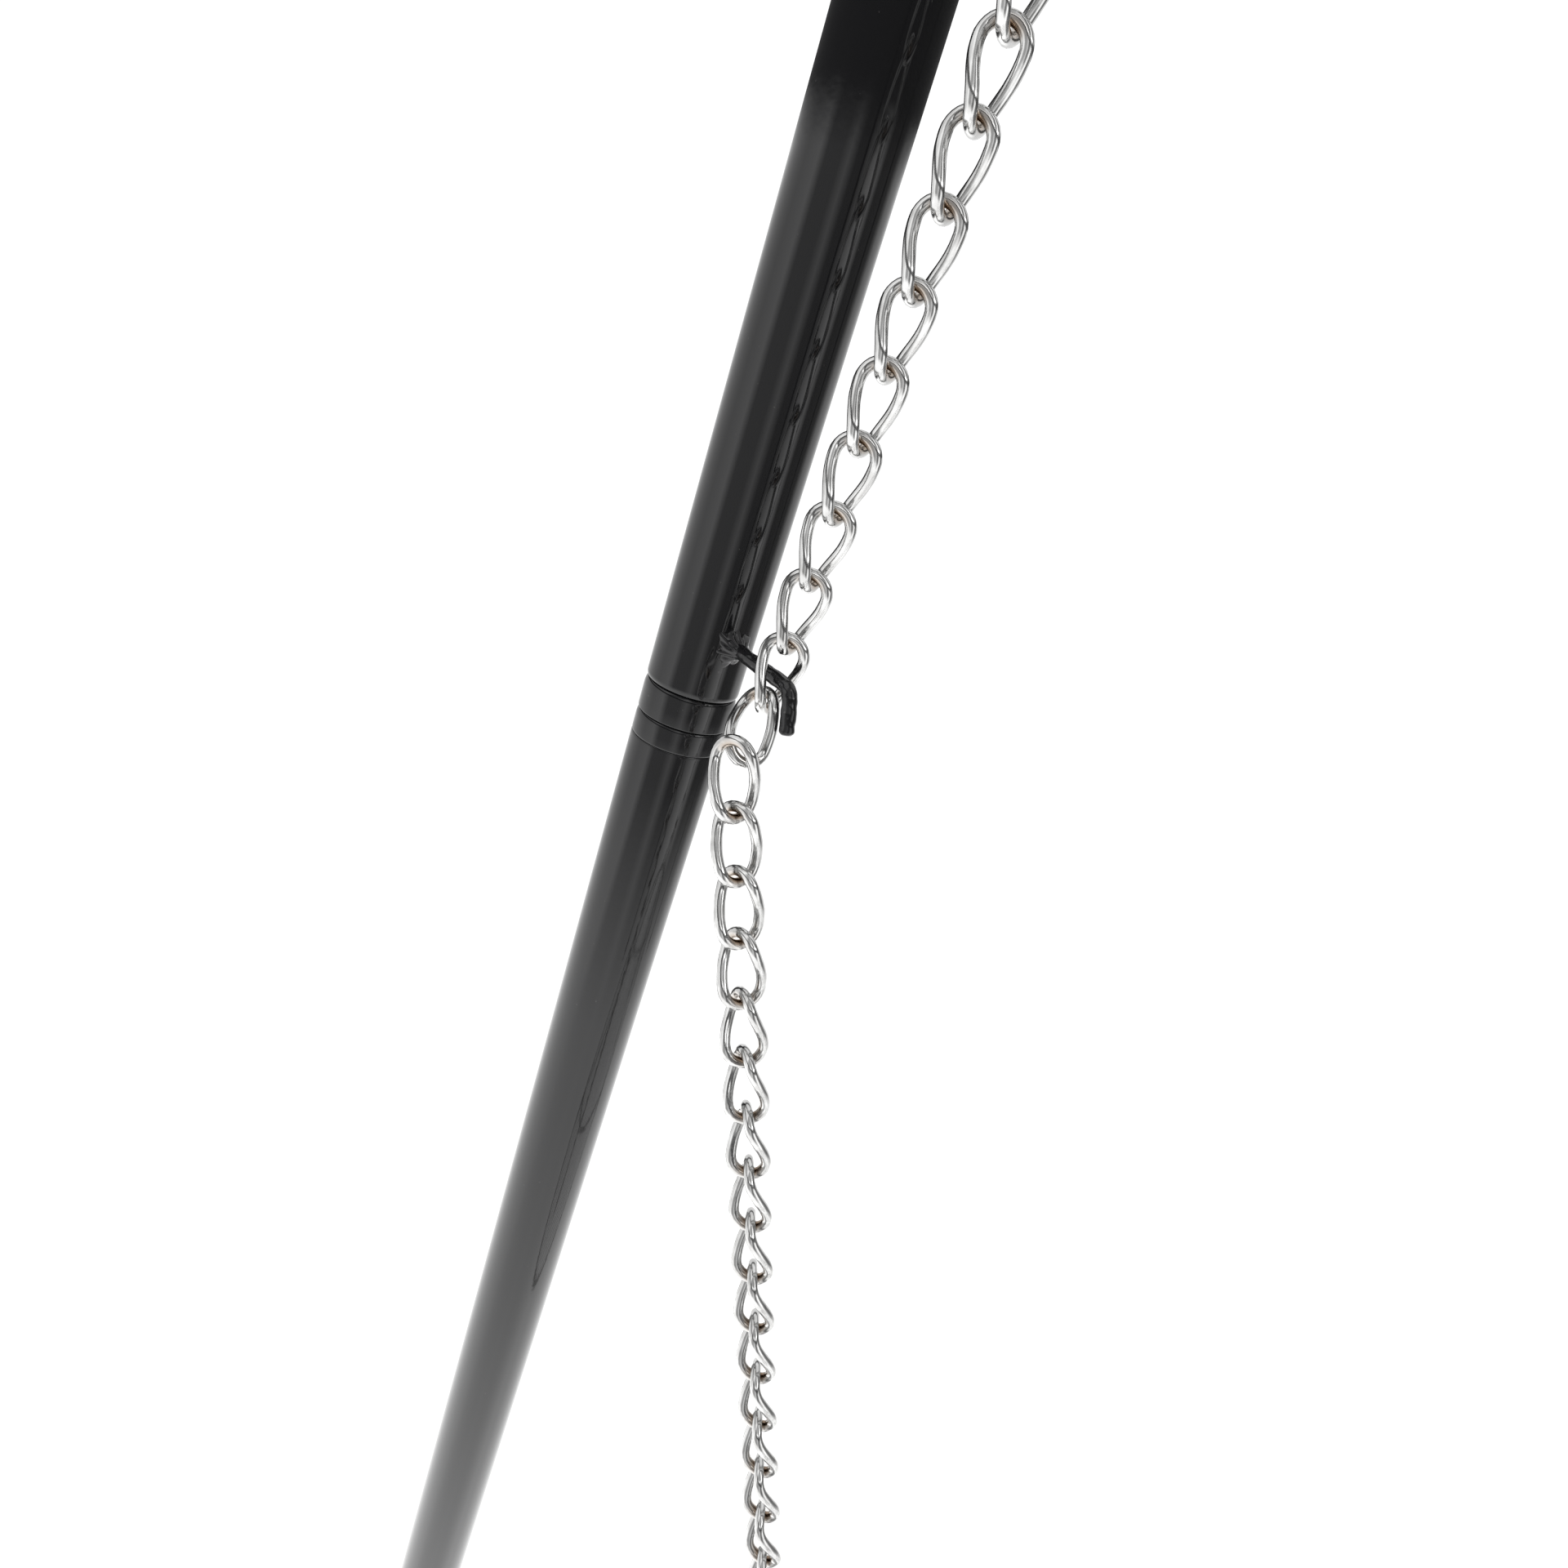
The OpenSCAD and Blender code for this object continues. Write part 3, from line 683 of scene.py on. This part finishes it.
def plug_profile(parting):
    """The spigot with a chamfered nose, the collar with its shoulder, and the grip below it."""
    low = parting + COLLAR_BELOW
    spigot = [(parting - 45.9, SPIGOT_R - 2.4), (parting - 46, SPIGOT_R - 1.2),
              (parting - 44.6, SPIGOT_R), (parting + 0.15, SPIGOT_R)]
    collar = np.vstack([shoulder(parting + 0.15, TUBE_R, 0.8, 2.1), edge(low, TUBE_R, 0.22, 0.5)])
    grip = [(low, BORE_R - GAP), (low + SLEEVE, BORE_R - GAP), (low + SLEEVE, SPIGOT_R - 2.5)]
    return np.vstack([spigot, collar, grip])


for leg in "abc":
    for above, below, parting in (("upper", "middle", SECTION), ("middle", "lower", 2 * SECTION)):
        leg_piece(f"leg_{leg}_{above}_ferrule", leg, f"leg_{leg}_{above}", "black_paint",
                  socket_profile(parting), tube_enamel, f"leg_{leg}_{above}_socket")
        leg_piece(f"leg_{leg}_{below}_ferrule", leg, f"leg_{leg}_{below}", "black_paint",
                  plug_profile(parting), tube_enamel, f"leg_{leg}_{below}_plug")
print("six sockets and six plugs")

# %% [markdown]
# ## Feet
# A moulded rubber foot is pushed over the end of each leg. It has a rolled lip, three grip rings,
# and a sole that is cut level, so that it stands flat although the leg leans. It is turned like
# the tubes, and then every point below the ground is lifted to it along the leg, which gives the
# level sole.

# %% Feet
def foot_profile():
    """Outside from the lip down, with three rings, over a rounded toe, and the bore inside."""
    top, r = 3 * SECTION - FOOT_WALL - FOOT_SLEEVE, 16.5
    down = np.linspace(top + 3, top + 34, 40)
    rings = 0.45 * np.clip(np.cos((down - top - 10) / 31 * 3 * 2 * np.pi), -0.2, 1)
    body = np.stack([down, r - 0.45 + rings], -1)
    lip = shoulder(top, r - 0.4, 1.6, 2.6)
    toe = edge(3 * SECTION + 8, r, 2.5, 8)
    return np.vstack([lip, body, toe, [(3 * SECTION + 8, 0.5), (3 * SECTION - 11.9, 0.5),
                                       (3 * SECTION - 11.9, TUBE_R + 0.1), (top, TUBE_R + 0.1)]])


for leg in "abc":
    profile = foot_profile()
    points = turned(profile).reshape(-1, 3)
    frame_points = moved(points, leg_matrix(leg))
    # A point below the ground goes up along the leg by its depth over the leg's steepness.
    up_leg = np.array(leg_matrix(leg).to_3x3() @ Vector((0, 0, 1)))
    depth = np.clip(-frame_points[:, 2], 0, None)
    frame_points += depth[:, None] / up_leg[2] * up_leg
    frame_points[:, 2] = np.maximum(frame_points[:, 2], 0)
    foot = make_piece(f"leg_{leg}_foot_piece", frame_points,
                      grid_faces(len(profile), TURN_STEPS, True, True), f"leg_{leg}_lower",
                      "foot_rubber", f"leg_{leg}_foot", sharp=50)
    foot.data.materials.append(rubber)
print("three feet, soles at", round(float(frame_points[:, 2].min()), 4))

# %% [markdown]
# ## The hook and its weld
# The hook is a short length of rod welded to the leg and bent down at its end. It was dipped in
# paint with the leg, and chains have scuffed it since, so it's less smooth than the tube. The
# weld was made by hand: a lumpy ring of metal round the rod's foot. Both are swept along the rod's
# own line, and the bead's radius wanders with the angle by a sum of a few waves.

# %% The hook
def hook_matrix():
    """The matrix from the hook's coordinates, X along the rod and Z up the leg, to the frame's."""
    return (leg_matrix("a") @ Matrix.Translation((0, 0, -HOOK_DOWN * MM))
            @ Matrix.Rotation(math.radians(180 - HOOK_TURN), 4, "Z"))


def hook_line(reach=35.4, bend=70, bend_r=4.0, tip=8.2):
    """Straight out from the tube, round the bend, and down to the tip, with even steps."""
    straight = np.stack([np.linspace(12.8, reach, 40), np.zeros(40), np.zeros(40)], -1)
    a = np.radians(np.linspace(0, bend, 18))[1:]
    curve = np.stack([reach + bend_r * np.sin(a), 0 * a, -bend_r * (1 - np.cos(a))], -1)
    way = np.array((math.cos(a[-1]), 0, -math.sin(a[-1])))
    tail = curve[-1] + np.linspace(0, tip, 22)[1:, None] * way
    return np.vstack([straight, curve, tail])


line = hook_line()
rng = np.random.default_rng(4)
sides = 24
angle = np.linspace(0, 2 * np.pi, sides, endpoint=False)
reach = np.linspace(0, 1, len(line))
# The wall wanders by hundredths of a millimetre where paint has run and chain has rubbed.
wander = sum(amount * np.sin(reach[:, None] * k * 17 + m * angle[None, :] + phase)
             for k, m, amount, phase in zip((1, 2, 3, 5), (1, 2, 3, 2), (0.05, 0.05, 0.04, 0.03),
                                            rng.uniform(0, 6, 4)))
radius = 2.0 + wander - 0.08
from_tip = (len(line) - 1 - np.arange(len(line))) * 8.2 / 21
radius -= (0.75 * np.clip(1 - from_tip / 1.0, 0, 1) ** 2)[:, None]
ahead = np.gradient(line, axis=0)
ahead /= np.linalg.norm(ahead, axis=-1, keepdims=True)
out = np.tile((0.0, 1.0, 0.0), (len(line), 1))
side = np.cross(ahead, out)
rings = line[:, None, :] + radius[..., None] * (np.cos(angle)[None, :, None] * out[:, None, :]
                                                + np.sin(angle)[None, :, None] * side[:, None, :])
hook = make_piece("rod_hook", moved(rings.reshape(-1, 3) * MM, hook_matrix()),
                  grid_faces(len(line), sides, False, True), "leg_a_upper", "black_paint",
                  "chain_hook", sharp=50,
                  caps=[list(range(sides))[::-1], list(range((len(line) - 1) * sides, len(line) * sides))])
hook.data.materials.append(hook_enamel)
print("hook reaches", round(float(line[:, 0].max() + 2), 1), "mm from the tube's middle")

# %% The weld bead
BEAD_STEPS, BEAD_ROWS = 96, 28


def bead(steps, rows):
    """A ring round the rod: its section is a hump that is wide at the tube, and it is lumpy."""
    a = np.linspace(0, 2 * np.pi, steps, endpoint=False)[None, :]
    t = np.linspace(0, 1, rows)[:, None]
    lumps = (1 + 0.2 * np.sin(3 * a + 0.6) + 0.16 * np.sin(7 * a + 2.1 + 3 * t)
             + 0.1 * np.sin(13 * a - 5 * t))
    r = 1.9 + (2.9 * lumps) * (1 - t) ** 1.6
    wall = np.sqrt(np.maximum(12.75 ** 2 - (r * np.cos(a)) ** 2, 0))
    x = wall - 0.3 + (3.9 + 0.9 * np.sin(2 * a + 1) + 0.35 * np.sin(9 * a)) * t ** 0.75
    return np.stack([x, r * np.cos(a), r * np.sin(a)], -1)


points = bead(BEAD_STEPS, BEAD_ROWS)
bead_caps = [list(range(BEAD_STEPS))[::-1],
             list(range((BEAD_ROWS - 1) * BEAD_STEPS, BEAD_ROWS * BEAD_STEPS))]
weld = make_piece("weld_bead", moved(points.reshape(-1, 3) * MM, hook_matrix()),
                  grid_faces(BEAD_ROWS, BEAD_STEPS, False, True), "leg_a_upper", "black_paint",
                  "hook_weld", sharp=180, caps=bead_caps)
weld.data.materials.append(weld_enamel)
print("weld bead of", len(weld.data.polygons), "faces")

# %% [markdown]
# ## Finishes for the parts that CAD shapes fully
# The hub, its bolts and the grate are plain turned, cut and bent shapes, so the CAD nodes stay
# and take their finish here. What the record calls black paint gets enamel with more ripple,
# because a thick plate is sprayed and not dipped. Bolts and rods get the zinc of drawn wire.

# %% Finish the CAD nodes that show
FINISH = {"black_paint": plate_enamel, "zinc": rod_zinc, "foot_rubber": rubber}
slots = {part["node"]: part["material_slot"] for part in frame["record"]["subparts"]}
shown = [node for node in frame["nodes"].values() if not node.hide_render]
for name, node in frame["nodes"].items():
    node.data.materials.clear()
    node.data.materials.append(FINISH[slots[name]])
print(len(shown), "CAD nodes show")
